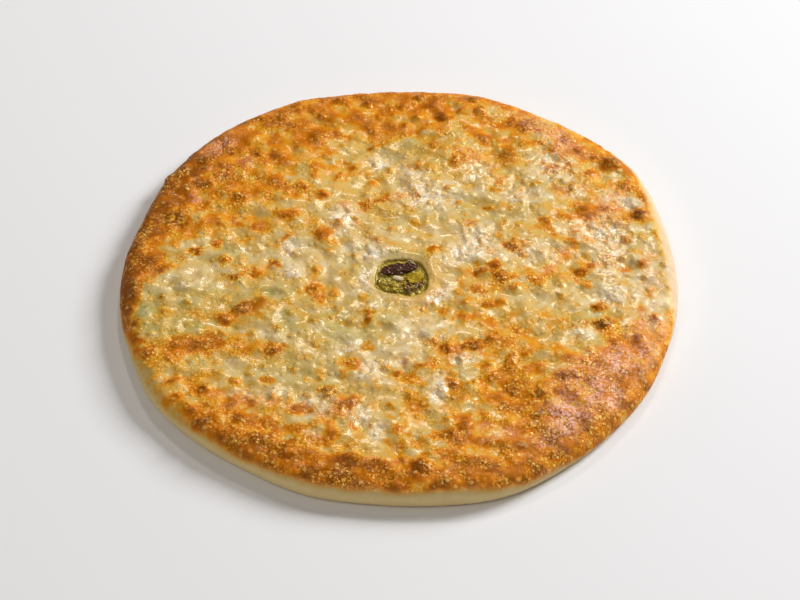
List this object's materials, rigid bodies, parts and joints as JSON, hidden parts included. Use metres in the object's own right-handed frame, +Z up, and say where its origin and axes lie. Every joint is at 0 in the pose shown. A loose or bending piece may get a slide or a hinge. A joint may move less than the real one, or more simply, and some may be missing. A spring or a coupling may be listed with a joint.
{
  "type": "ossetian pie",
  "caption": "Round flat baked pie with a blistered golden crust and a vent hole in the middle that shows a chopped green filling.",
  "frame": {"origin": "on the flat underside, below the middle of the pie", "axes": "+Z up, out of the browned top; -Y towards the side that faces the viewer of the reference picture; +X to its right"},
  "size_m": [0.3266, 0.3266, 0.0169],
  "materials": {
    "crust": "baked and buttered dough, golden with brown blisters",
    "filling": "moist chopped greens and cheese",
    "dark_piece": "wet dark leaf",
    "leaf_piece": "wet yellow-green leaf",
    "cheese_piece": "soft pale cheese"
  },
  "bodies": {
    "root": {"crust": "crust", "filling": "filling", "dark_piece": "dark_piece", "leaf_piece": "leaf_piece", "cheese_piece": "cheese_piece"}
  },
  "joints": []
}
